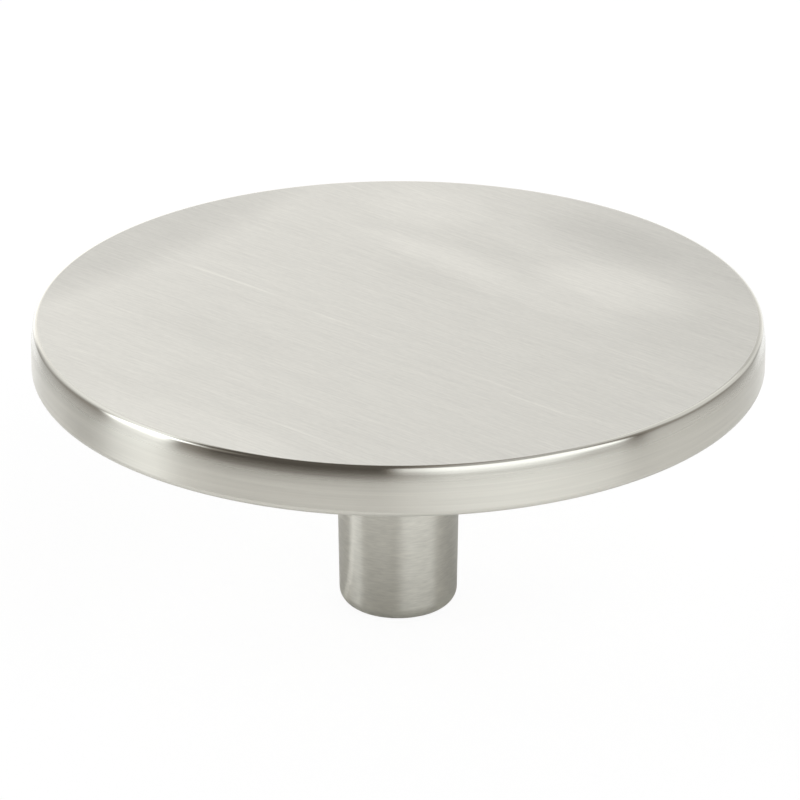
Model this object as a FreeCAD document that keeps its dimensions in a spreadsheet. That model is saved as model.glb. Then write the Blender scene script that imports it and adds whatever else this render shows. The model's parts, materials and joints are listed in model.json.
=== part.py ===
import FreeCAD, Part
import Sketcher

import math
import os

# Cabinet knob: a flat round disc on a slim stem, cast as one piece and finished all over.
# Frame: the origin is the centre of the foot, where the stem meets the door. +Z runs along
# the stem, away from the door, to the flat face of the disc. +X is the direction in which
# the face is brushed.

# Driving dimensions in millimetres and degrees: alias, value, meaning.
DIMENSIONS = (
    ("face_diameter", 60.0, "outside diameter of the disc"),
    ("disc_thickness", 4.35, "disc, from its underside to the flat face"),
    ("projection", 25.4, "from the door to the flat face"),
    ("crown_radius", 8.6, "radius of the gentle curve by which the side leans in to the face"),
    ("crown_angle", 11.0, "lean of the side where this curve ends, near the face"),
    ("upper_edge_bevel", 0.3, "break of the edge between the side and the face, each way"),
    ("lower_edge_radius", 0.6, "rounding of the disc's lower edge"),
    ("stem_root_diameter", 10.4, "stem, where it meets the disc"),
    ("stem_foot_diameter", 9.7, "stem, at the door, before its edge is rounded"),
    ("root_fillet_radius", 0.8, "fillet between the stem and the disc"),
    ("foot_edge_radius", 1.3, "rounding at the foot of the stem"),
    ("thread_diameter", 4.0, "nominal diameter of the mounting screw's thread"),
    ("thread_pitch", 0.7, "pitch of that thread"),
    ("hole_depth", 14.0, "depth of the tapped hole at its full diameter"),
    ("drill_point_angle", 118.0, "angle of the cone at the bottom of the hole"),
    ("mouth_margin", 0.25, "how far the countersunk mouth reaches past the thread, all round"),
    ("mouth_angle", 90.0, "angle of the countersunk mouth"),
)

# Ends of a sketch line or arc, and the sketch's own origin, as constraints name them.
START, END = 1, 2
SKETCH_ORIGIN = (-1, 1)

SAME_PLACE = 1e-4
UP = FreeCAD.Vector(0, 0, 1)


def make_sizes(doc):
    """Spreadsheet with one row for each driving dimension."""
    sheet = doc.addObject("Spreadsheet::Sheet", "Sizes")
    for row, (alias, value, meaning) in enumerate(DIMENSIONS, start=1):
        sheet.set("A%d" % row, meaning)
        sheet.set("B%d" % row, str(value))
        sheet.setAlias("B%d" % row, alias)
    doc.recompute()
    return sheet


def new_sketch(body, name, plane_role):
    """Sketch of the body on one of its origin planes."""
    sketch = body.newObject("Sketcher::SketchObject", name)
    sketch.AttachmentSupport = [(origin_feature(body, plane_role), "")]
    sketch.MapMode = "FlatFace"
    return sketch


def origin_feature(body, role):
    """Plane or axis of the body's own origin, such as XZ_Plane or Z_Axis."""
    for feature in body.Origin.OriginFeatures:
        if feature.Role == role:
            return feature
    raise ValueError("the body's origin has no " + role)


def hold(sketch, kind, expression, value, *places):
    """Dimension in the sketch that follows an expression on the sheet."""
    index = sketch.addConstraint(Sketcher.Constraint(kind, *places, value))
    sketch.setExpression("Constraints[%d]" % index, expression)


def draw_half_section(sketch, sizes):
    """Half section of the knob: foot, stem, underside, side, crown, bevel and face.

    Sketch x is the radius and sketch y is the height. The corners start where the
    present sizes put them, and the constraints then hold them to the sheet. The side
    rises straight, leans in along the crown and meets the face in a small bevel.
    """
    outer = sizes.face_diameter / 2
    underside = sizes.projection - sizes.disc_thickness
    lean = math.radians(sizes.crown_angle)
    bevel_width = sizes.upper_edge_bevel
    crown_end_height = sizes.projection - bevel_width
    crown_start_height = crown_end_height - sizes.crown_radius * math.sin(lean)
    crown_centre = FreeCAD.Vector(outer - sizes.crown_radius, crown_start_height, 0)
    crown_end_radius = crown_centre.x + sizes.crown_radius * math.cos(lean)

    axis_foot = FreeCAD.Vector(0, 0, 0)
    foot_corner = FreeCAD.Vector(sizes.stem_foot_diameter / 2, 0, 0)
    root_corner = FreeCAD.Vector(sizes.stem_root_diameter / 2, underside, 0)
    lower_corner = FreeCAD.Vector(outer, underside, 0)
    side_top = FreeCAD.Vector(outer, crown_start_height, 0)
    crown_end = FreeCAD.Vector(crown_end_radius, crown_end_height, 0)
    face_corner = FreeCAD.Vector(crown_end_radius - bevel_width, sizes.projection, 0)
    axis_face = FreeCAD.Vector(0, sizes.projection, 0)
    crown_circle = Part.Circle(crown_centre, UP, sizes.crown_radius)

    foot = sketch.addGeometry(Part.LineSegment(axis_foot, foot_corner))
    stem = sketch.addGeometry(Part.LineSegment(foot_corner, root_corner))
    under = sketch.addGeometry(Part.LineSegment(root_corner, lower_corner))
    side = sketch.addGeometry(Part.LineSegment(lower_corner, side_top))
    crown = sketch.addGeometry(Part.ArcOfCircle(crown_circle, 0, lean))
    bevel = sketch.addGeometry(Part.LineSegment(crown_end, face_corner))
    face = sketch.addGeometry(Part.LineSegment(face_corner, axis_face))
    axis = sketch.addGeometry(Part.LineSegment(axis_face, axis_foot))

    outline = (foot, stem, under, side, crown, bevel, face, axis)
    for current, following in zip(outline, outline[1:] + outline[:1]):
        kind = "Tangent" if current == side else "Coincident"
        sketch.addConstraint(Sketcher.Constraint(kind, current, END, following, START))
    sketch.addConstraint(Sketcher.Constraint("Coincident", foot, START, *SKETCH_ORIGIN))
    for level in (foot, under, face):
        sketch.addConstraint(Sketcher.Constraint("Horizontal", level))
    for upright in (side, axis):
        sketch.addConstraint(Sketcher.Constraint("Vertical", upright))

    hold(sketch, "DistanceX", "Sizes.stem_foot_diameter / 2", foot_corner.x,
         *SKETCH_ORIGIN, foot, END)
    hold(sketch, "DistanceX", "Sizes.stem_root_diameter / 2", root_corner.x,
         *SKETCH_ORIGIN, stem, END)
    hold(sketch, "DistanceX", "Sizes.face_diameter / 2", outer, *SKETCH_ORIGIN, under, END)
    hold(sketch, "DistanceY", "Sizes.projection", sizes.projection, *SKETCH_ORIGIN, face, END)
    hold(sketch, "DistanceY", "Sizes.disc_thickness", sizes.disc_thickness,
         under, END, face, START)
    hold(sketch, "Radius", "Sizes.crown_radius", sizes.crown_radius, crown)
    hold(sketch, "Angle", "Sizes.crown_angle * 1 deg", lean, crown)
    hold(sketch, "DistanceX", "Sizes.upper_edge_bevel", bevel_width, bevel, END, bevel, START)
    hold(sketch, "DistanceY", "Sizes.upper_edge_bevel", bevel_width, bevel, START, bevel, END)


def turn_blank(doc, body, sizes):
    """The solid knob turned about the stem's axis, with its three small edges still sharp."""
    sketch = new_sketch(body, "HalfSection", "XZ_Plane")
    draw_half_section(sketch, sizes)
    blank = body.newObject("PartDesign::Revolution", "Blank")
    blank.Profile = sketch
    blank.ReferenceAxis = (origin_feature(body, "Z_Axis"), [""])
    blank.Angle = 360
    doc.recompute()
    return blank


def ring_edge(shape, radius, height):
    """Name of the full-circle edge about Z at this radius and height."""
    for index, edge in enumerate(shape.Edges, start=1):
        if not isinstance(edge.Curve, Part.Circle):
            continue
        same_radius = abs(edge.Curve.Radius - radius) < SAME_PLACE
        same_height = abs(edge.Curve.Center.z - height) < SAME_PLACE
        if same_radius and same_height:
            return "Edge%d" % index
    raise ValueError("no edge of radius %.3f at height %.3f" % (radius, height))


def round_corner(doc, body, base, name, radius, height, alias):
    """Fillet of the corner that runs round at this radius and height."""
    fillet = body.newObject("PartDesign::Fillet", name)
    fillet.Base = (base, [ring_edge(base.Shape, radius, height)])
    fillet.setExpression("Radius", "Sizes." + alias)
    doc.recompute()
    return fillet


def round_corners(doc, body, blank, sizes):
    """Roundings at the disc's lower edge, the stem's root and the stem's foot."""
    underside = sizes.projection - sizes.disc_thickness
    lower = round_corner(doc, body, blank, "LowerEdge",
                         sizes.face_diameter / 2, underside, "lower_edge_radius")
    root = round_corner(doc, body, lower, "RootFillet",
                        sizes.stem_root_diameter / 2, underside, "root_fillet_radius")
    return round_corner(doc, body, root, "FootEdge",
                        sizes.stem_foot_diameter / 2, 0, "foot_edge_radius")


def drill_tapped_hole(doc, body, sizes):
    """Blind tap-drill hole up the stem, with a drill-point bottom and a countersunk mouth."""
    sketch = new_sketch(body, "HoleCentre", "XY_Plane")
    drill_radius = (sizes.thread_diameter - sizes.thread_pitch) / 2
    circle = sketch.addGeometry(Part.Circle(FreeCAD.Vector(0, 0, 0), UP, drill_radius))
    sketch.addConstraint(Sketcher.Constraint("Coincident", circle, 3, *SKETCH_ORIGIN))
    hold(sketch, "Radius", "(Sizes.thread_diameter - Sizes.thread_pitch) / 2",
         drill_radius, circle)
    doc.recompute()

    solid_before = body.Shape.Volume
    hole = body.newObject("PartDesign::Hole", "TappedHole")
    hole.Profile = sketch
    hole.Reversed = True
    hole.DepthType = "Dimension"
    hole.DrillPoint = "Angled"
    hole.HoleCutType = "Countersink"
    hole.HoleCutCustomValues = True
    hole.setExpression("Diameter", "Sizes.thread_diameter - Sizes.thread_pitch")
    hole.setExpression("Depth", "Sizes.hole_depth")
    hole.setExpression("DrillPointAngle", "Sizes.drill_point_angle")
    hole.setExpression("HoleCutDiameter", "Sizes.thread_diameter + 2 * Sizes.mouth_margin")
    hole.setExpression("HoleCutCountersinkAngle", "Sizes.mouth_angle")
    doc.recompute()

    removed = solid_before - body.Shape.Volume
    drilled = math.pi * drill_radius ** 2 * sizes.hole_depth
    if removed < drilled:
        raise ValueError("the hole removed %.1f of at least %.1f cubic mm" % (removed, drilled))
    return hole


def make_knob(doc, sizes):
    """The whole knob as one body."""
    body = doc.addObject("PartDesign::Body", "Knob")
    body.Label = "knob"
    blank = turn_blank(doc, body, sizes)
    round_corners(doc, body, blank, sizes)
    body.Tip = drill_tapped_hole(doc, body, sizes)
    return body


def check_document(doc, bodies):
    """Stop at any failed object, and at any sub-part that isn't one valid solid."""
    for item in doc.Objects:
        if "Invalid" in item.State or "Error" in item.State:
            raise RuntimeError("%s failed to build: %s" % (item.Name, item.State))
    for body in bodies:
        if body.Shape.isNull() or not body.Shape.isValid():
            raise RuntimeError("%s has no valid shape" % body.Label)
        if len(body.Shape.Solids) != 1:
            raise RuntimeError("%s has %d solids" % (body.Label, len(body.Shape.Solids)))


def write_parts(bodies):
    """One STEP file for each sub-part, named by its label."""
    os.makedirs("parts", exist_ok=True)
    for body in bodies:
        body.Shape.exportStep("parts/%s.step" % body.Label)
        box = body.Shape.optimalBoundingBox()
        print("%s: %.2f x %.2f x %.2f mm, %.1f cubic mm" % (
            body.Label, box.XLength, box.YLength, box.ZLength, body.Shape.Volume))


def main():
    doc = FreeCAD.newDocument("CabinetKnob")
    sizes = make_sizes(doc)
    bodies = [make_knob(doc, sizes)]
    doc.recompute()
    check_document(doc, bodies)
    write_parts(bodies)


main()
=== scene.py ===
"""Cabinet knob: a brushed disc on a slim stem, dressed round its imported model."""

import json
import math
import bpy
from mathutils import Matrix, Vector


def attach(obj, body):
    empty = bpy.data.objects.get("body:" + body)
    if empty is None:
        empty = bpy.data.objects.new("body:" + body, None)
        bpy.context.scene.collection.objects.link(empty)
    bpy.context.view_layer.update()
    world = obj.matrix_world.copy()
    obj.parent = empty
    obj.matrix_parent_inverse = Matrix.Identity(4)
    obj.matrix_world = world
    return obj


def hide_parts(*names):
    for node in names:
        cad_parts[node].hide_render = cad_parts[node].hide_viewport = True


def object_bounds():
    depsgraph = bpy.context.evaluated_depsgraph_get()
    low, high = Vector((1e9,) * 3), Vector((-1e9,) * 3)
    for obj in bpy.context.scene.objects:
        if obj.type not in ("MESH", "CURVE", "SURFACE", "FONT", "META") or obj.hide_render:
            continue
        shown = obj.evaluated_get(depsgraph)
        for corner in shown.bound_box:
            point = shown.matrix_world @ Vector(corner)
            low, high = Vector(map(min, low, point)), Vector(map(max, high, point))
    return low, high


bl_info = {
    "name": "Cabinet Knob",
    "version": (1, 0, 0),
    "blender": (4, 5, 0),
    "location": "3D View > Sidebar > Knob",
    "description": "Turns a brushed disc knob with a tapped hole, in a plain studio",
    "category": "Add Mesh",
}

import bpy
from bpy.props import FloatProperty, FloatVectorProperty, IntProperty, PointerProperty
from bpy.types import Operator, Panel, PropertyGroup
from mathutils import Vector

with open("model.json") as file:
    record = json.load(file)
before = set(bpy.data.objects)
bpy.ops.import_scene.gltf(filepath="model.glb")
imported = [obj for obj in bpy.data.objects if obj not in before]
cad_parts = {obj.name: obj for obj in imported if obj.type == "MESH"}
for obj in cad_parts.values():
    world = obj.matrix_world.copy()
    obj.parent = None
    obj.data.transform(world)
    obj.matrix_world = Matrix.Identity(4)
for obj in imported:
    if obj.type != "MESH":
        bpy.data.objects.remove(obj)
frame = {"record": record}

MM = 0.001
CAD_LOW, CAD_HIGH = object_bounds()
HOLE = next(m for m in frame["record"]["mounts"] if m["name"] == "screw_hole")
HOLE_RADIUS = HOLE["dims"]["r_mm"] * MM
WALL_START = HOLE["pos_m"][2]
HOLE_END = WALL_START + HOLE["dims"]["length_mm"] * MM

# Zones of the turned surface, each with a finish of its own.
FACE, RIM, UNDERSIDE, STEM, TAPPED = range(5)

# The swept meshes: points closer than this become one, and edges that bend more stay crisp.
MERGE_DISTANCE = 0.0005 * MM
CRISP_BEND = math.radians(25.0)

# The thread's ridge: its half width at the foot and at the crest in shares of the pitch, how
# deep its foot is sunk in the wall, its steps in one turn, and the steps of each run-out.
RIDGE_FOOT = 0.46
RIDGE_CREST = 0.07
RIDGE_SUNK = 0.06 * MM
RIDGE_STEPS = 72
RUN_OUT_STEPS = 30.0

# Turns the stretched reflections so that they lie across the turning lines.
ACROSS_TURNING = 0.25
# Radius in millimetres at which a turning line has the length that is asked for.
LINE_RADIUS = 12.0

# Stage, in metres.
FLOOR_HALF_WIDTH = 3.0
CARD_HALF_WIDTH, CARD_LOW, CARD_HIGH = 0.35, -0.02, 0.40
CARD_DISTANCE = 0.40


def length(name, description, default):
    """Length property in metres."""
    return FloatProperty(name=name, description=description, default=default,
                         unit="LENGTH", precision=5, min=0.0)


def angle(name, description, degrees):
    """Angle property, given in degrees."""
    return FloatProperty(name=name, description=description, default=math.radians(degrees),
                         subtype="ANGLE", unit="ROTATION")


def share(name, description, default):
    """Plain number between 0 and 1."""
    return FloatProperty(name=name, description=description, default=default,
                         subtype="FACTOR", min=0.0, max=1.0)


def colour(name, description, default):
    """Linear colour property."""
    return FloatVectorProperty(name=name, description=description, default=default,
                               subtype="COLOR", size=3, min=0.0, max=1.0)


def brightness(name, description, default):
    """Brightness of something that shines, where 1 is white."""
    return FloatProperty(name=name, description=description, default=default, min=0.0)


class KnobShape(PropertyGroup):
    """Sizes of the knob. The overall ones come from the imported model."""

    face_radius: length("Face radius", "Outside radius of the disc",
                        min(CAD_HIGH.x, CAD_HIGH.y))
    projection: length("Projection", "From the door to the flat face", CAD_HIGH.z)
    disc_thickness: length("Disc thickness", "From the underside to the face", 4.35 * MM)
    crown_radius: length("Crown", "Gentle curve by which the side leans in", 8.6 * MM)
    crown_angle: angle("Crown angle", "Lean of the side where it meets the upper edge", 11.0)
    upper_edge_radius: length("Upper edge", "Rounding between the side and the face", 0.42 * MM)
    lower_edge_radius: length("Lower edge", "Rounding of the disc's lower edge", 0.6 * MM)
    stem_root_radius: length("Stem root", "Stem's radius at the disc", 5.2 * MM)
    stem_foot_radius: length("Stem foot", "Stem's radius at the door", 4.85 * MM)
    root_fillet_radius: length("Root fillet", "Fillet between stem and disc", 0.8 * MM)
    foot_edge_radius: length("Foot edge", "Rounding at the stem's foot", 1.3 * MM)
    thread_radius: length("Thread radius", "Half the thread's nominal diameter", 2.0 * MM)
    thread_pitch: length("Thread pitch", "Rise of the thread in one turn", 0.7 * MM)
    mouth_radius: length("Mouth radius", "Radius of the countersunk mouth", 2.25 * MM)
    drill_point: angle("Drill point", "Angle of the cone at the hole's end", 118.0)
    steps: IntProperty(name="Steps", description="Divisions in one turn", default=320, min=24)


class KnobFinish(PropertyGroup):
    """Colours and brushing of the metal."""

    nickel: colour("Nickel", "Satin nickel plating on the face", (0.680, 0.664, 0.612))
    turned_nickel: colour("Turned nickel", "Plating on the rim, stem and underside",
                          (0.664, 0.648, 0.585))
    bare_zinc: colour("Bare zinc", "Cut metal in the tapped hole", (0.46, 0.46, 0.45))
    face_roughness: share("Face roughness", "Roughness of the straight brushing", 0.30)
    side_roughness: share("Side roughness", "Roughness of the brushed side", 0.33)
    edge_roughness: share("Edge roughness", "Roughness of the polished upper edge", 0.13)
    stem_roughness: share("Stem roughness", "Roughness of the turned stem", 0.33)
    turned_anisotropy: share("Turned anisotropy", "Stretch of reflections across the turning", 0.9)
    brushed_depth: length("Brushed depth", "Depth below the face at which the side is fully "
                          "brushed", 1.8 * MM)


class KnobStudio(PropertyGroup):
    """Camera, surroundings and floor."""

    camera_azimuth: angle("Camera azimuth", "Turn of the view about the stem", 41.0)
    camera_elevation: angle("Camera elevation", "Height of the view over the face", 23.15)
    camera_distance: length("Camera distance", "From the middle of the face", 0.600)
    lens: FloatProperty(name="Lens", description="Focal length in millimetres on a 36 mm sensor",
                        default=330.7, min=1.0)
    aim_right: length("Aim right", "How far right of the face's middle the camera looks",
                      0.147 * MM)
    aim_down: length("Aim down", "How far below the face's middle the camera looks", 6.78 * MM)
    room_level: brightness("Room", "Dim room behind the camera", 0.10)
    room_warmth: share("Room warmth", "How far the dim parts lean from grey to brown", 0.10)
    light_coolness: share("Light coolness", "How far the bright parts lean to blue", 0.025)
    tabletop_level: brightness("Tabletop", "Table before the sheet on which the knob stands", 0.20)
    ceiling_level: brightness("Ceiling", "Ceiling over the knob's left side", 0.11)
    ceiling_right_level: brightness("Ceiling at the right", "Ceiling over its right side", 0.58)
    flank_level: brightness("Flanks", "Lower part of the walls at both sides", 0.42)
    left_wall_level: brightness("Left wall", "Upper part of the wall at the left", 1.32)
    right_wall_level: brightness("Right wall", "Upper part of the wall at the right", 0.88)
    backdrop_level: brightness("Backdrop", "White backdrop behind the knob", 1.10)
    card_level: brightness("Backdrop card", "White card before the backdrop", 1.06)
    key_level: brightness("Key softbox", "Wide softbox right of the camera", 1.65)
    strip_level: brightness("Strip softbox", "Narrow softbox at the left", 2.5)
    floor_glow: brightness("Floor glow", "Light that the floor adds in reflections", 0.58)
    floor_white: brightness("Floor white", "Level of the floor as the camera sees it", 1.08)
    floor: colour("Floor", "Pale floor", (0.85, 0.85, 0.85))
    sheet_radius: length("Sheet", "White part of the floor, as reflections show it", 82.0 * MM)
    sheet_ahead: length("Sheet ahead", "How far its middle lies before the knob", 18.0 * MM)
    shade_behind: length("Shade behind", "How far its shade's middle lies behind the knob",
                         6.0 * MM)


class Value:
    """One output of a node, used in arithmetic: each operator adds a Math node."""

    def __init__(self, graph, socket):
        self.graph = graph
        self.socket = socket

    def maths(self, operation, *operands):
        inputs = dict(enumerate(operands))
        return self.graph.node("ShaderNodeMath", {"operation": operation}, inputs)["Value"]

    def __add__(self, other):
        return self.maths("ADD", self, other)

    def __radd__(self, other):
        return self.maths("ADD", other, self)

    def __sub__(self, other):
        return self.maths("SUBTRACT", self, other)

    def __rsub__(self, other):
        return self.maths("SUBTRACT", other, self)

    def __mul__(self, other):
        return self.maths("MULTIPLY", self, other)

    def __rmul__(self, other):
        return self.maths("MULTIPLY", other, self)

    def __truediv__(self, other):
        return self.maths("DIVIDE", self, other)

    def __rtruediv__(self, other):
        return self.maths("DIVIDE", other, self)

    def __pow__(self, other):
        return self.maths("POWER", self, other)

    def __abs__(self):
        return self.maths("ABSOLUTE", self)

    def floor(self):
        return self.maths("FLOOR", self)

    def degrees(self):
        return self.maths("DEGREES", self)

    def cosine(self):
        return self.maths("COSINE", self)

    def sine(self):
        return self.maths("SINE", self)

    def arcsine(self):
        return self.maths("ARCSINE", self)

    def bearing(self, front):
        """Angle in degrees of a place this far to the right and that far to the front."""
        return self.maths("ARCTAN2", self, front).degrees()

    def least(self, other):
        return self.maths("MINIMUM", self, other)

    def most(self, other):
        return self.maths("MAXIMUM", self, other)


class Outputs:
    """Outputs of one node, by name or number."""

    def __init__(self, graph, node):
        self.graph = graph
        self.node = node

    def __getitem__(self, key):
        return Value(self.graph, self.node.outputs[key])


class Graph:
    """A node tree that is being written."""

    def __init__(self, tree):
        self.tree = tree

    def node(self, kind, settings=None, inputs=None):
        """Adds one node: its settings first, then its sockets' values or links."""
        made = self.tree.nodes.new(kind)
        for name, setting in (settings or {}).items():
            setattr(made, name, setting)
        for key, given in (inputs or {}).items():
            if isinstance(given, Value):
                self.tree.links.new(given.socket, made.inputs[key])
            else:
                made.inputs[key].default_value = given
        return Outputs(self, made)

    def vector(self, x, y, z):
        return self.node("ShaderNodeCombineXYZ", None, {"X": x, "Y": y, "Z": z})["Vector"]

    def smooth(self, value, start, end):
        """Rises smoothly from 0 at start to 1 at end."""
        inputs = {"Value": value, "From Min": start, "From Max": end}
        settings = {"interpolation_type": "SMOOTHSTEP"}
        return self.node("ShaderNodeMapRange", settings, inputs)["Result"]

    def window(self, value, start, end, soft):
        """1 between start and end, with soft edges that reach as far outwards as inwards."""
        opened = self.smooth(value, start - soft, start + soft)
        return opened * (1 - self.smooth(value, end - soft, end + soft))

    def noise(self, vector, detail=2.0):
        """Noise about 0, mostly within a quarter either way."""
        inputs = {"Vector": vector, "Scale": 1.0, "Detail": detail, "Roughness": 0.5}
        return self.node("ShaderNodeTexNoise", None, inputs)["Fac"] - 0.5

    def scaled(self, vector, factor):
        inputs = {"Vector": vector, "Scale": factor}
        return self.node("ShaderNodeVectorMath", {"operation": "SCALE"}, inputs)["Vector"]


def blend(start, end, part):
    """Goes from start to end as part goes from 0 to 1."""
    return start + (end - start) * part


def apart(x, y):
    """Distance of a place in a plane from that plane's origin."""
    return (x * x + y * y) ** 0.5


# The turned shape

def arc(centre, radius, start, end, zone, step=math.radians(6.0)):
    """Points of a round stretch of the half section, without its first point."""
    count = max(2, math.ceil(abs(end - start) / step))
    turns = [start + (end - start) * i / count for i in range(1, count + 1)]
    return [(centre[0] + radius * math.cos(t), centre[1] + radius * math.sin(t), zone)
            for t in turns]


def straight(start, end, zone, parts=1, support=0.03 * MM):
    """Points of a straight stretch, without its first point.

    A point close to each end keeps the shading of the stretch clear of its neighbours'.
    """
    (x0, z0), (x1, z1) = start, end
    near = support / math.hypot(x1 - x0, z1 - z0)
    shares = [near] + [i / parts for i in range(1, parts)] + [1 - near, 1]
    return [(x0 + (x1 - x0) * s, z0 + (z1 - z0) * s, zone) for s in shares]


def half_section(shape):
    """Half section from the middle of the face round to the end of the hole.

    Each point is radius, height and the zone of the surface that leads up to it.
    """
    top = shape.projection
    under = top - shape.disc_thickness
    outer = shape.face_radius

    crown, edge = shape.crown_radius, shape.upper_edge_radius
    tip_in = crown - edge
    crown_centre = (outer - crown, top - edge - tip_in * math.sin(shape.crown_angle))
    edge_centre = (crown_centre[0] + tip_in * math.cos(shape.crown_angle), top - edge)
    lower = shape.lower_edge_radius
    lower_centre = (outer - lower, under + lower)

    lean = math.atan2(shape.stem_root_radius - shape.stem_foot_radius, under)
    fillet = shape.root_fillet_radius
    fillet_height = under - fillet
    fillet_x = (shape.stem_foot_radius + fillet_height * math.tan(lean)
                + fillet / math.cos(lean))
    fillet_end = (fillet_x - fillet * math.cos(lean), fillet_height + fillet * math.sin(lean))
    foot = shape.foot_edge_radius
    foot_x = shape.stem_foot_radius + foot * math.tan(lean) - foot / math.cos(lean)
    foot_start = (foot_x + foot * math.cos(lean), foot - foot * math.sin(lean))

    wall = shape.thread_radius
    recess_start = shape.mouth_radius - wall
    recess_end = HOLE_END - shape.thread_pitch
    tip = HOLE_END + HOLE_RADIUS / math.tan(shape.drill_point / 2)

    half_pi = math.pi / 2
    points = [(0.0, top, FACE)]
    points += straight((0.0, top), (edge_centre[0], top), FACE, parts=8)
    points += arc(edge_centre, edge, half_pi, shape.crown_angle, RIM)
    points += arc(crown_centre, crown, shape.crown_angle, 0.0, RIM, step=math.radians(1.0))
    points += straight((outer, crown_centre[1]), (outer, lower_centre[1]), RIM, parts=4)
    points += arc(lower_centre, lower, 0.0, -half_pi, RIM)
    points += straight((lower_centre[0], under), (fillet_x, under), UNDERSIDE, parts=6)
    points += arc((fillet_x, fillet_height), fillet, half_pi, math.pi - lean, STEM)
    points += straight(fillet_end, foot_start, STEM, parts=6)
    points += arc((foot_x, foot), foot, -lean, -half_pi, STEM)
    points += straight((foot_x, 0.0), (shape.mouth_radius, 0.0), STEM)
    points += straight((shape.mouth_radius, 0.0), (wall, recess_start), TAPPED)
    points += straight((wall, recess_start), (wall, recess_end), TAPPED)
    points += straight((wall, recess_end), (HOLE_RADIUS, recess_end + wall - HOLE_RADIUS),
                       TAPPED)
    points += straight((HOLE_RADIUS, recess_end + wall - HOLE_RADIUS), (HOLE_RADIUS, HOLE_END),
                       TAPPED)
    points += straight((HOLE_RADIUS, HOLE_END), (0.0, tip), TAPPED)
    return points


def thread_section(shape):
    """Closed section of the thread's ridge at the start of its first turn.

    It stands on the wall at the nominal radius, and its crest lies at the drilled radius.
    """
    foot = RIDGE_FOOT * shape.thread_pitch
    crest = RIDGE_CREST * shape.thread_pitch
    sunk = shape.thread_radius + RIDGE_SUNK
    corners = [(sunk, -foot), (shape.thread_radius, -foot), (HOLE_RADIUS, -crest),
               (HOLE_RADIUS, crest), (shape.thread_radius, foot), (sunk, foot)]
    return [(radius, height, TAPPED) for radius, height in corners + corners[:1]]


def section_object(name, points):
    """Object whose mesh is a chain of points, each with its zone."""
    mesh = bpy.data.meshes.new(name)
    chain = [(i, i + 1) for i in range(len(points) - 1)]
    mesh.from_pydata([(radius, 0.0, height) for radius, height, _ in points], chain, [])
    zones = mesh.attributes.new("zone", "INT", "POINT")
    zones.data.foreach_set("value", [zone for _, _, zone in points])
    made = bpy.data.objects.new(name, mesh)
    bpy.context.scene.collection.objects.link(made)
    return made


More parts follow.
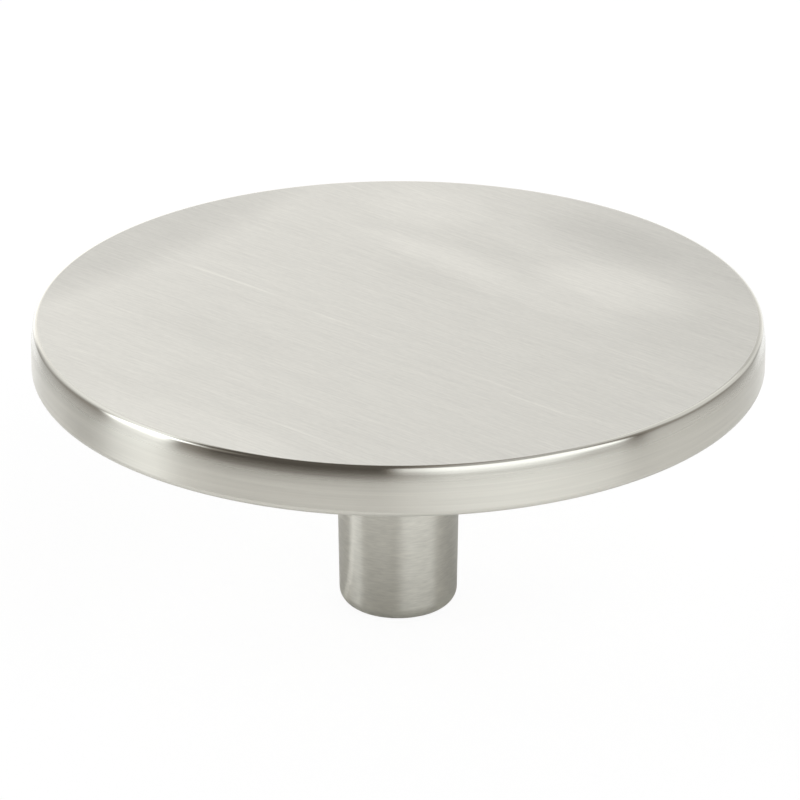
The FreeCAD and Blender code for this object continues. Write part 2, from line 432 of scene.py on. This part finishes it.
def screwing_tree(name, materials):
    """Geometry tree that sweeps a section about Z, rising for a thread, level for a turned body.

    Its named inputs are the section, the steps in one turn, the turns, the rise in one
    turn, the run-out over which the section grows from the wall at both ends, and one
    material for each zone.
    """
    tree = bpy.data.node_groups.new(name, "GeometryNodeTree")
    tree.is_modifier = True
    sockets = (
        ("Section", "NodeSocketGeometry", None),
        ("Steps per turn", "NodeSocketInt", 64),
        ("Turns", "NodeSocketFloat", 1.0),
        ("Rise per turn", "NodeSocketFloat", 0.0),
        ("Run-out steps", "NodeSocketFloat", 0.0),
        ("Wall radius", "NodeSocketFloat", 0.0),
    )
    for label, kind, default in sockets:
        socket = tree.interface.new_socket(label, in_out="INPUT", socket_type=kind)
        if default is not None:
            socket.default_value = default
    for label in materials:
        tree.interface.new_socket(label, in_out="INPUT", socket_type="NodeSocketMaterial")
    tree.interface.new_socket("Geometry", in_out="OUTPUT", socket_type="NodeSocketGeometry")

    graph = Graph(tree)
    given = graph.node("NodeGroupInput")
    section = given["Section"]
    per_turn = given["Steps per turn"]
    steps = (per_turn * given["Turns"]).floor()
    count = graph.node("GeometryNodeAttributeDomainSize", None, {"Geometry": section})
    grid = graph.node("GeometryNodeMeshGrid", None, {
        "Size X": 1.0, "Size Y": 1.0,
        "Vertices X": count["Point Count"], "Vertices Y": steps + 1})

    index = graph.node("GeometryNodeInputIndex")["Index"]
    row = ((index + 0.5) / (steps + 1)).floor()
    step = index - row * (steps + 1)
    sample = graph.node("GeometryNodeSampleIndex", {"data_type": "FLOAT_VECTOR"}, {
        "Geometry": section, "Value": graph.node("GeometryNodeInputPosition")["Position"],
        "Index": row})
    place = graph.node("ShaderNodeSeparateXYZ", None, {"Vector": sample["Value"]})
    turn = step / per_turn
    grown = graph.smooth(step.least(steps - step), -0.001, given["Run-out steps"])
    wall = given["Wall radius"]
    radius = wall + (place["X"] - wall) * grown
    height = place["Z"] * grown + turn * given["Rise per turn"]
    around = turn * math.tau
    swept = graph.node("GeometryNodeSetPosition", None, {
        "Geometry": grid["Mesh"],
        "Position": graph.vector(radius * around.cosine(), radius * around.sine(), height)})

    strip = ((index + 0.5) / steps).floor() + 1
    named = graph.node("GeometryNodeInputNamedAttribute", {"data_type": "INT"}, {"Name": "zone"})
    zone = graph.node("GeometryNodeSampleIndex", {"data_type": "INT"}, {
        "Geometry": section, "Value": named["Attribute"], "Index": strip})
    zoned = graph.node(
        "GeometryNodeStoreNamedAttribute", {"data_type": "INT", "domain": "FACE"},
        {"Geometry": swept["Geometry"], "Name": "zone", "Value": zone["Value"]})
    closed = graph.node("GeometryNodeMergeByDistance", None, {
        "Geometry": zoned["Geometry"], "Distance": MERGE_DISTANCE})

    bend = graph.node("GeometryNodeInputMeshEdgeAngle")["Unsigned Angle"]
    crisp = graph.node("FunctionNodeCompare", {"operation": "GREATER_THAN"},
                       {0: bend, 1: CRISP_BEND})["Result"]
    rounded = graph.node("GeometryNodeSetShadeSmooth", {"domain": "FACE"},
                         {"Geometry": closed["Geometry"], "Shade Smooth": True})
    shaded = graph.node("GeometryNodeSetShadeSmooth", {"domain": "EDGE"}, {
        "Geometry": rounded["Geometry"], "Selection": crisp, "Shade Smooth": False})

    result = graph.node("GeometryNodeRealizeInstances", None, {"Geometry": shaded["Geometry"]})
    for label, number in materials.items():
        chosen = graph.node(
            "FunctionNodeCompare", {"data_type": "INT", "operation": "EQUAL"},
            {"A": named["Attribute"], "B": number})["Result"]
        result = graph.node("GeometryNodeSetMaterial", None, {
            "Geometry": result["Geometry"], "Selection": chosen, "Material": given[label]})
    graph.node("NodeGroupOutput", None, {"Geometry": result["Geometry"]})
    return tree


def swept_piece(name, section, tree, inputs):
    """Plain mesh object from a section swept by the tree with these named inputs."""
    source = section_object(name + "_section", section)
    modifier = source.modifiers.new(name, "NODES")
    modifier.node_group = tree
    for item in tree.interface.items_tree:
        if item.in_out == "INPUT" and item.name in inputs:
            modifier[item.identifier] = inputs[item.name]
    graph = bpy.context.evaluated_depsgraph_get()
    mesh = bpy.data.meshes.new_from_object(source.evaluated_get(graph), depsgraph=graph)
    source.modifiers.remove(modifier)
    bpy.data.objects.remove(source)
    mesh.name = name
    piece = bpy.data.objects.new(name, mesh)
    bpy.context.scene.collection.objects.link(piece)
    return piece


# Finishes

def new_material(name):
    """Empty node material and the graph that writes it."""
    material = bpy.data.materials.new(name)
    material.use_nodes = True
    material.node_tree.nodes.clear()
    return material, Graph(material.node_tree)


def metal(graph, base, roughness, height, relief, anisotropy=0.0, across=0.0):
    """Metal shader. Relief is the depth in metres that the height field covers."""
    bump = graph.node("ShaderNodeBump", None, {
        "Strength": 1.0, "Distance": relief, "Height": height})
    shader = graph.node("ShaderNodeBsdfPrincipled", None, {
        "Base Color": base, "Metallic": 1.0, "Roughness": roughness,
        "Anisotropic": anisotropy, "Anisotropic Rotation": across, "Normal": bump["Normal"]})
    graph.node("ShaderNodeOutputMaterial", None, {"Surface": shader["BSDF"]})


def place_mm(graph):
    """Place on the knob in millimetres, as x, y and z."""
    whole = graph.node("ShaderNodeTexCoord")["Object"]
    parts = graph.node("ShaderNodeSeparateXYZ", None, {"Vector": whole})
    return [parts[axis] * (1 / MM) for axis in "XYZ"]


# Soft patches of the face, lighter or darker: partly the brushing's own uneven tone, partly
# painted reflection and shade, and the scratches that caught the brushing. In millimetres from
# its middle: x, y, half length along the brushing, half width across it, and how much lighter.
FACE_TONE_AND_PAINTED_REFLECTION = (
    (-28.5, -2.0, 7.5, 26.0, -0.15),
    (12.0, 26.5, 24.0, 7.0, -0.10),
    (22.0, 16.0, 12.0, 11.0, -0.045),
    (2.0, 23.5, 9.0, 5.0, -0.05),
    (10.0, 16.0, 10.0, 4.5, 0.11),
    (6.0, 10.5, 13.0, 2.6, 0.05),
    (-6.0, 12.2, 10.0, 2.4, 0.06),
    (-14.0, 20.0, 7.0, 6.0, 0.06),
    (-4.0, 8.0, 7.0, 2.0, -0.03),
    (-3.0, 16.0, 7.0, 1.8, -0.03),
    (3.0, -28.0, 16.0, 5.0, 0.06),
    (-9.0, -12.0, 11.0, 3.0, -0.035),
)
FACE_SCRATCHES = (
    (-15.5, -3.1, 7.5, 0.20, 0.13),
    (-4.0, -3.8, 4.0, 0.17, 0.08),
    (14.0, -5.1, 5.0, 0.17, 0.07),
    (20.0, -6.1, 5.0, 0.17, 0.08),
    (9.0, -22.4, 5.0, 0.20, 0.07),
    (-18.0, -13.6, 3.0, 0.18, 0.06),
)


def patched(graph, x, y, patches):
    """Sum of soft oval patches, each of them fading to nothing at its edge."""
    total = 0.0
    for middle_x, middle_y, half_length, half_width, strength in patches:
        along = (x - middle_x) / half_length
        across = (y - middle_y) / half_width
        total = total + graph.smooth(along * along + across * across, 1.0, 0.0) * strength
    return total


def face_finish(finish):
    """Straight brushing along X, with scratches, and soft patches that are partly its uneven tone
    and partly painted reflection and shade.
    """
    material, graph = new_material("nickel_straight_brushed")
    x, y, _ = place_mm(graph)
    hair = graph.noise(graph.vector(x * 0.30, y * 5.0, 0.0))
    stroke = graph.noise(graph.vector(x * 0.10, y * 1.5, 3.7))
    band = graph.noise(graph.vector(x * 0.03, y * 0.30, 8.2), detail=1.0)
    grain = graph.noise(graph.vector(x * 1.6, y * 4.0, 5.1), detail=1.0)
    bright_hairs = graph.smooth(graph.noise(graph.vector(x * 0.16, y * 3.6, 6.4)), 0.08, 0.28)
    tone = hair * 0.20 + stroke * 0.10 + band * 0.05 + grain * 0.10 + bright_hairs * 0.05
    # The patches paint reflection and shade into the colour as well as the brushing's tone.
    tone = tone + patched(graph, x, y, FACE_TONE_AND_PAINTED_REFLECTION + FACE_SCRATCHES)
    base = graph.scaled(graph.vector(*finish.nickel), 1 + tone)
    roughness = finish.face_roughness + hair * 0.05 + stroke * 0.06
    metal(graph, base, roughness, hair + stroke, 0.25e-6)
    return material


def turning_lines(graph, x, y, z, length_mm, width_mm, detail=2.0):
    """Fine lines that run round the stem's axis, seamless all the way round."""
    run = 1 / apart(x, y).most(0.01)
    spread = LINE_RADIUS / length_mm
    return graph.noise(graph.vector(x * run * spread, y * run * spread, z / width_mm), detail)


def rim_finish(finish, shape):
    """Polished upper edge that turns into a side brushed all the way round, with shade painted
    along its lower edge.
    """
    material, graph = new_material("nickel_rim")
    x, y, z = place_mm(graph)
    top = shape.projection / MM
    brushed = graph.smooth(top - z, 0.5 * shape.upper_edge_radius / MM,
                           finish.brushed_depth / MM)
    lines = turning_lines(graph, x, y, z, 4.0, 0.11, 3.0)
    streaks = turning_lines(graph, x, y, z, 6.0, 0.34, 1.0)
    wide = turning_lines(graph, x, y, z, 9.0, 0.9)
    tone = (lines * 0.16 + streaks * 0.12 + wide * 0.10) * (0.30 + 0.70 * brushed)
    underside = top - shape.disc_thickness / MM
    # Painted shade: the colour darkens towards the disc's lower edge, so that the edge's
    # reflection of the floor comes out no brighter than the side.
    tone = tone - 0.12 * graph.smooth(z - underside, 0.72, 0.42)
    base = graph.scaled(graph.vector(*finish.turned_nickel), 1 + tone)
    spread = finish.side_roughness - finish.edge_roughness
    roughness = finish.edge_roughness + spread * brushed + lines * brushed * 0.08
    height = lines * brushed + streaks * 7.0
    metal(graph, base, roughness, height, 0.5e-6, finish.turned_anisotropy, ACROSS_TURNING)
    return material


def stem_finish(finish):
    """Stem and foot, brushed all the way round."""
    material, graph = new_material("nickel_turned")
    x, y, z = place_mm(graph)
    lines = turning_lines(graph, x, y, z, 2.0, 0.13, 3.0)
    streaks = turning_lines(graph, x, y, z, 3.5, 0.34, 1.0)
    wide = turning_lines(graph, x, y, z, 6.0, 0.9)
    tone = lines * 0.34 + streaks * 0.16 + wide * 0.10
    base = graph.scaled(graph.vector(*finish.turned_nickel), 1 + tone)
    roughness = finish.stem_roughness + lines * 0.10
    height = lines + streaks * 4.0
    metal(graph, base, roughness, height, 0.8e-6, finish.turned_anisotropy, ACROSS_TURNING)
    return material


def underside_finish(finish):
    """Satin underside with faint rings about the stem."""
    material, graph = new_material("nickel_underside")
    x, y, z = place_mm(graph)
    rings = turning_lines(graph, x, y, z + apart(x, y), 6.0, 0.14, 3.0)
    cloud = graph.noise(graph.vector(x * 0.08, y * 0.08, 1.3))
    base = graph.scaled(graph.vector(*finish.turned_nickel), 0.97 + rings * 0.04 + cloud * 0.05)
    roughness = 0.38 + rings * 0.06 + cloud * 0.08
    metal(graph, base, roughness, rings, 0.5e-6)
    return material


def hole_finish(finish):
    """Bare cut metal with fine chatter round the hole."""
    material, graph = new_material("zinc_cut")
    x, y, z = place_mm(graph)
    lines = turning_lines(graph, x, y, z, 2.0, 0.05)
    cloud = graph.noise(graph.vector(x * 0.9, y * 0.9, z * 0.9))
    base = graph.scaled(graph.vector(*finish.bare_zinc), 1 + lines * 0.12 + cloud * 0.12)
    metal(graph, base, 0.36 + cloud * 0.1, lines, 1.0e-6)
    return material


def hold(piece):
    """The piece goes with the knob's one body."""
    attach(piece, "root")


class KNOB_OT_turn_body(Operator):
    """Turn the whole knob from its half section and give each zone its finish."""

    bl_idname = "knob.turn_body"
    bl_label = "Turn the body"

    def execute(self, context):
        shape, finish = context.scene.knob_shape, context.scene.knob_finish
        zones = {"Face": FACE, "Rim": RIM, "Underside": UNDERSIDE, "Stem": STEM,
                 "Tapped hole": TAPPED}
        body = swept_piece("knob_body", half_section(shape), screwing_tree("turned_body", zones), {
            "Steps per turn": shape.steps,
            "Face": face_finish(finish),
            "Rim": rim_finish(finish, shape),
            "Underside": underside_finish(finish),
            "Stem": stem_finish(finish),
            "Tapped hole": hole_finish(finish),
        })
        hold(body)
        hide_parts("knob")
        return {"FINISHED"}


class KNOB_OT_cut_thread(Operator):
    """Make the ridge of the screw thread inside the tapped hole."""

    bl_idname = "knob.cut_thread"
    bl_label = "Cut the thread"

    def execute(self, context):
        shape = context.scene.knob_shape
        first = shape.mouth_radius - shape.thread_radius
        last = HOLE_END - shape.thread_pitch
        section = [(radius, height + first + shape.thread_pitch / 2, zone)
                   for radius, height, zone in thread_section(shape)]
        turns = (last - first - shape.thread_pitch) / shape.thread_pitch
        tree = screwing_tree("screw_ridge", {"Metal": TAPPED})
        thread = swept_piece("screw_thread", section, tree, {
            "Steps per turn": RIDGE_STEPS,
            "Turns": turns,
            "Rise per turn": shape.thread_pitch,
            "Run-out steps": RUN_OUT_STEPS,
            "Wall radius": shape.thread_radius,
            "Metal": bpy.data.materials["zinc_cut"],
        })
        hold(thread)
        return {"FINISHED"}


def heading(azimuth, elevation):
    """Direction from the knob to something at this azimuth and elevation."""
    level = math.cos(elevation)
    return Vector((math.sin(azimuth) * level, -math.cos(azimuth) * level, math.sin(elevation)))


def rightwards(azimuth):
    """Level direction to the right, as seen from this azimuth."""
    return Vector((math.cos(azimuth), math.sin(azimuth), 0.0))


def aim(made, place, target):
    """Puts an object at a place and turns it to face the target."""
    made.location = place
    made.rotation_euler = (target - place).to_track_quat("-Z", "Y").to_euler()


def add_camera(studio, centre):
    """Camera at the view's own angle."""
    data = bpy.data.cameras.new("camera")
    data.sensor_width = 36.0
    data.lens = studio.lens
    data.clip_start, data.clip_end = 0.01, 50.0
    camera = bpy.data.objects.new("camera", data)
    bpy.context.scene.collection.objects.link(camera)
    back = heading(studio.camera_azimuth, studio.camera_elevation)
    right = rightwards(studio.camera_azimuth)
    up = back.cross(right)
    target = centre + right * studio.aim_right - up * studio.aim_down
    aim(camera, centre + back * studio.camera_distance, target)
    bpy.context.scene.camera = camera


def room_level(graph, studio, azimuth, elevation):
    """Brightness of the table, the walls and the white backdrop behind the knob."""
    shine = (0.24 * graph.smooth(azimuth, 8.0, 34.0)
             + 0.34 * graph.window(azimuth, -98.0, -74.0, 10.0))
    below = graph.smooth(elevation, -5.0, -10.0)
    level = blend(studio.room_level, studio.tabletop_level + shine, below)
    left_below = graph.smooth(elevation, -12.0, -17.0)
    left_flank = blend(0.75, 1.45, left_below) * graph.smooth(azimuth, -48.0, -70.0)
    turned = graph.smooth(azimuth, 84.0, 132.0)
    right_below = graph.smooth(elevation, -5.0 - 9.0 * turned, -10.5 - 10.0 * turned)
    right_flank = blend(0.80, 1.9, right_below) * graph.smooth(azimuth, 68.0, 86.0)
    level = level.most(studio.flank_level * (left_flank + right_flank))
    left_foot = -6.0 - 16.0 * graph.smooth(azimuth, -108.0, -136.0)
    left_wall = graph.smooth(azimuth, -90.0, -106.0) * graph.smooth(elevation, left_foot, 60.0)
    right_foot = 4.0 - 21.0 * graph.smooth(azimuth, 110.0, 136.0)
    right_wall = (graph.smooth(azimuth, 88.0, 108.0)
                  * graph.smooth(elevation, right_foot, right_foot + 26.0))
    level = blend(level, studio.left_wall_level, left_wall)
    level = blend(level, studio.right_wall_level, right_wall)
    return blend(level, studio.backdrop_level, graph.smooth(abs(azimuth), 140.0, 158.0))


def under_ceiling(graph, studio, azimuth, elevation, right, level):
    """The level with the ceiling over it, brighter at the right and lower at the back."""
    ceiling = blend(studio.ceiling_level, studio.ceiling_right_level,
                    graph.smooth(right, -0.05, 0.25))
    start = 57.0 - 15.0 * graph.smooth(abs(azimuth), 148.0, 176.0)
    return blend(level, ceiling, graph.smooth(elevation - start, -3.0, 3.0))


def with_softboxes(graph, studio, azimuth, elevation, level):
    """The level with the wide key softbox and the narrow strip in front of it."""
    key_foot = -5.2 - 1.9 * graph.window(azimuth, 10.0, 54.0, 8.0)
    key = (graph.window(azimuth, -1.0, 73.0, 4.0)
           * graph.smooth(elevation - key_foot, -3.0, 3.0) * graph.smooth(elevation, 59.0, 53.0))
    key_fill = studio.key_level * blend(0.55, 1.0, graph.smooth(azimuth, -2.0, 18.0))
    strip = graph.window(azimuth, -98.0, -72.5, 5.0) * graph.window(elevation, -9.0, 45.0, 4.0)
    return blend(blend(level, key_fill, key), studio.strip_level, strip)


def add_surroundings(studio):
    """White for the camera. For the metal, a dim room with a white backdrop and two softboxes.

    Azimuths are in degrees from the camera, positive to its right.
    """
    world = bpy.data.worlds.new("studio")
    bpy.context.scene.world = world
    world.use_nodes = True
    world.node_tree.nodes.clear()
    graph = Graph(world.node_tree)
    way = graph.node("ShaderNodeTexCoord")["Generated"]
    parts = graph.node("ShaderNodeSeparateXYZ", None, {"Vector": way})
    ahead = heading(studio.camera_azimuth, 0.0)
    front = parts["X"] * ahead.x + parts["Y"] * ahead.y
    right = parts["Y"] * ahead.x - parts["X"] * ahead.y
    azimuth = right.bearing(front)
    elevation = parts["Z"].arcsine().degrees()

    level = room_level(graph, studio, azimuth, elevation)
    level = under_ceiling(graph, studio, azimuth, elevation, right, level)
    level = with_softboxes(graph, studio, azimuth, elevation, level)
    warmth = studio.room_warmth * (1 - graph.smooth(level, 0.1, 0.6))
    warmth = warmth - studio.light_coolness * graph.smooth(level, 0.8, 1.5)
    seen = graph.node("ShaderNodeLightPath")["Is Camera Ray"]
    warmth = blend(warmth, 0.0, seen)
    lit = graph.node("ShaderNodeBackground", None, {
        "Color": graph.vector(1 + warmth, 1.0, 1 - warmth),
        "Strength": blend(level, 1.0, seen)})
    graph.node("ShaderNodeOutputWorld", None, {"Surface": lit["Background"]})


def stage_plane(name, corners):
    """Object of one four-cornered face."""
    mesh = bpy.data.meshes.new(name)
    mesh.from_pydata(corners, [], [(0, 1, 2, 3)])
    made = bpy.data.objects.new(name, mesh)
    bpy.context.scene.collection.objects.link(made)
    return made


def floor_reflection(graph, studio, ahead, aside, near):
    """Light that the floor adds in reflections, and the painted shade that darkens its own colour
    there.

    Places are in millimetres ahead of the knob and aside to its right, and near falls from
    1 round the knob to 0 farther off.
    """
    unshaded = graph.smooth(apart(ahead + studio.shade_behind / MM, aside), 18.0, 48.0)
    level = studio.floor_glow * blend(1.0, 0.80, graph.smooth(abs(aside), 28.0, 70.0))
    bearing = aside.bearing(ahead)
    away = apart(ahead, aside)
    stripe = blend(0.46, 0.09, graph.smooth(away, 14.0, 26.0)) * graph.smooth(away, 4.0, 9.0)
    sides = (0.06 * graph.window(bearing, -76.0, -12.0, 5.0)
             + 0.09 * graph.window(bearing, 8.0, 62.0, 4.0)) * graph.smooth(away, 7.0, 15.0)
    pools = stripe * graph.window(bearing, -93.0, -82.0, 4.0) + sides
    farther = (0.30 * graph.window(bearing, -56.0, -6.0, 8.0)
               - 0.28 * graph.smooth(bearing, 0.0, 12.0)
               + 0.16 * graph.smooth(bearing, 16.0, 34.0)
               - 0.65 * graph.window(bearing, -100.0, -72.0, 8.0)
               + 0.45 * graph.smooth(bearing, -102.0, -114.0))
    glow = level * unshaded * (1 + farther * (1 - near)) + pools * near
    # Painted shade: reflections see the floor's colour darker near the knob, at its right.
    return glow, near * 0.24 * graph.smooth(bearing, 76.0, 98.0)


def add_floor(studio, foot_radius):
    """Pale floor that keeps a light shadow, and can be seen through from below.

    It is open under the flat of the foot, so that the foot and the hole are lit from below.
    Reflections show it white round the knob and open beyond, as a sheet on a table would be.
    """
    half = FLOOR_HALF_WIDTH
    floor = stage_plane("floor", [(-half, -half, 0.0), (half, -half, 0.0),
                                  (half, half, 0.0), (-half, half, 0.0)])
    material, graph = new_material("pale_floor")
    path = graph.node("ShaderNodeLightPath")
    x, y, _ = place_mm(graph)
    front = heading(studio.camera_azimuth, 0.0)
    ahead = x * front.x + y * front.y
    aside = y * front.x - x * front.y
    away = apart(ahead, aside)
    near = 1 - graph.smooth(away, 38.0, 58.0)
    glow_level, painted_shade = floor_reflection(graph, studio, ahead, aside, near)
    # Reflections see the floor's colour darkened by painted shade near the knob's right.
    matt = graph.node("ShaderNodeBsdfDiffuse", None, {
        "Color": graph.scaled(graph.vector(*studio.floor), 1 - painted_shade * path["Is Glossy Ray"])})
    white = graph.node("ShaderNodeEmission", None, {"Strength": studio.floor_white})
    glow = graph.node("ShaderNodeEmission", None, {
        "Strength": path["Is Glossy Ray"] * glow_level})
    lifted = graph.node("ShaderNodeAddShader", None, {0: matt["BSDF"], 1: glow["Emission"]})
    seen = graph.node("ShaderNodeMixShader", None, {
        0: path["Is Camera Ray"] * 0.85, 1: lifted["Shader"], 2: white["Emission"]})
    clear = graph.node("ShaderNodeBsdfTransparent")
    rim = studio.sheet_radius / MM
    beyond = graph.smooth(apart(ahead - studio.sheet_ahead / MM, aside), rim * 0.8, rim * 1.2)
    beyond = beyond * path["Is Glossy Ray"]
    under_foot = graph.smooth(away, foot_radius / MM, 0.98 * foot_radius / MM)
    behind = graph.node("ShaderNodeNewGeometry")["Backfacing"]
    both = graph.node("ShaderNodeMixShader", None, {
        0: beyond.most(behind).most(under_foot), 1: seen["Shader"], 2: clear["BSDF"]})
    graph.node("ShaderNodeOutputMaterial", None, {"Surface": both["Shader"]})
    floor.data.materials.append(material)


def add_backdrop_card(studio):
    """White card behind the knob that only the metal sees, brighter to the left and lower down.

    It fades out towards its top and its two ends, where the surroundings take over.
    """
    behind = -heading(studio.camera_azimuth, 0.0) * CARD_DISTANCE
    right = rightwards(studio.camera_azimuth)
    half = CARD_HALF_WIDTH
    corners = ((-half, CARD_LOW), (half, CARD_LOW), (half, CARD_HIGH), (-half, CARD_HIGH))
    card = stage_plane("backdrop_card", [behind + right * side + Vector((0.0, 0.0, height))
                                         for side, height in corners])
    card.visible_camera = False
    card.visible_shadow = False
    card.visible_diffuse = False
    material, graph = new_material("backdrop_card")
    x, y, z = place_mm(graph)
    aside = x * right.x + y * right.y
    slant = aside.most(-120.0).least(120.0) * 0.0017
    level = studio.card_level * (1 - slant - (z - 170.0) * 0.0024)
    lit = graph.node("ShaderNodeEmission", None, {"Strength": level.most(0.2)})
    clear = graph.node("ShaderNodeBsdfTransparent")
    ends = graph.smooth(abs(aside), 230.0, 340.0).most(graph.smooth(z, 250.0, 310.0))
    faded = graph.node("ShaderNodeMixShader", None, {
        0: ends, 1: lit["Emission"], 2: clear["BSDF"]})
    graph.node("ShaderNodeOutputMaterial", None, {"Surface": faded["Shader"]})
    card.data.materials.append(material)


class KNOB_OT_set_stage(Operator):
    """Set the camera, the surroundings, the floor and the backdrop card."""

    bl_idname = "knob.set_stage"
    bl_label = "Set the stage"

    def execute(self, context):
        shape, studio = context.scene.knob_shape, context.scene.knob_studio
        add_camera(studio, Vector((0.0, 0.0, shape.projection)))
        add_surroundings(studio)
        add_floor(studio, shape.stem_foot_radius - shape.foot_edge_radius)
        add_backdrop_card(studio)
        context.scene.view_settings.view_transform = "Standard"
        return {"FINISHED"}


class KNOB_PT_panel(Panel):
    """Steps and sizes of the knob."""

    bl_idname = "KNOB_PT_panel"
    bl_label = "Cabinet Knob"
    bl_space_type = "VIEW_3D"
    bl_region_type = "UI"
    bl_category = "Knob"

    def draw(self, context):
        for operator in OPERATORS:
            self.layout.operator(operator.bl_idname)
        for group in GROUPS:
            settings = getattr(context.scene, group)
            column = self.layout.column()
            for name in settings.bl_rna.properties.keys():
                if name not in ("rna_type", "name"):
                    column.prop(settings, name)


GROUPS = {"knob_shape": KnobShape, "knob_finish": KnobFinish, "knob_studio": KnobStudio}
OPERATORS = (KNOB_OT_turn_body, KNOB_OT_cut_thread, KNOB_OT_set_stage)


def register():
    for made in (*GROUPS.values(), *OPERATORS, KNOB_PT_panel):
        bpy.utils.register_class(made)
    for name, group in GROUPS.items():
        setattr(bpy.types.Scene, name, PointerProperty(type=group))


def unregister():
    for name in GROUPS:
        delattr(bpy.types.Scene, name)
    for made in reversed((*GROUPS.values(), *OPERATORS, KNOB_PT_panel)):
        bpy.utils.unregister_class(made)


def main():
    register()
    bpy.ops.knob.turn_body()
    bpy.ops.knob.cut_thread()
    bpy.ops.knob.set_stage()


if __name__ == "__main__":
    main()
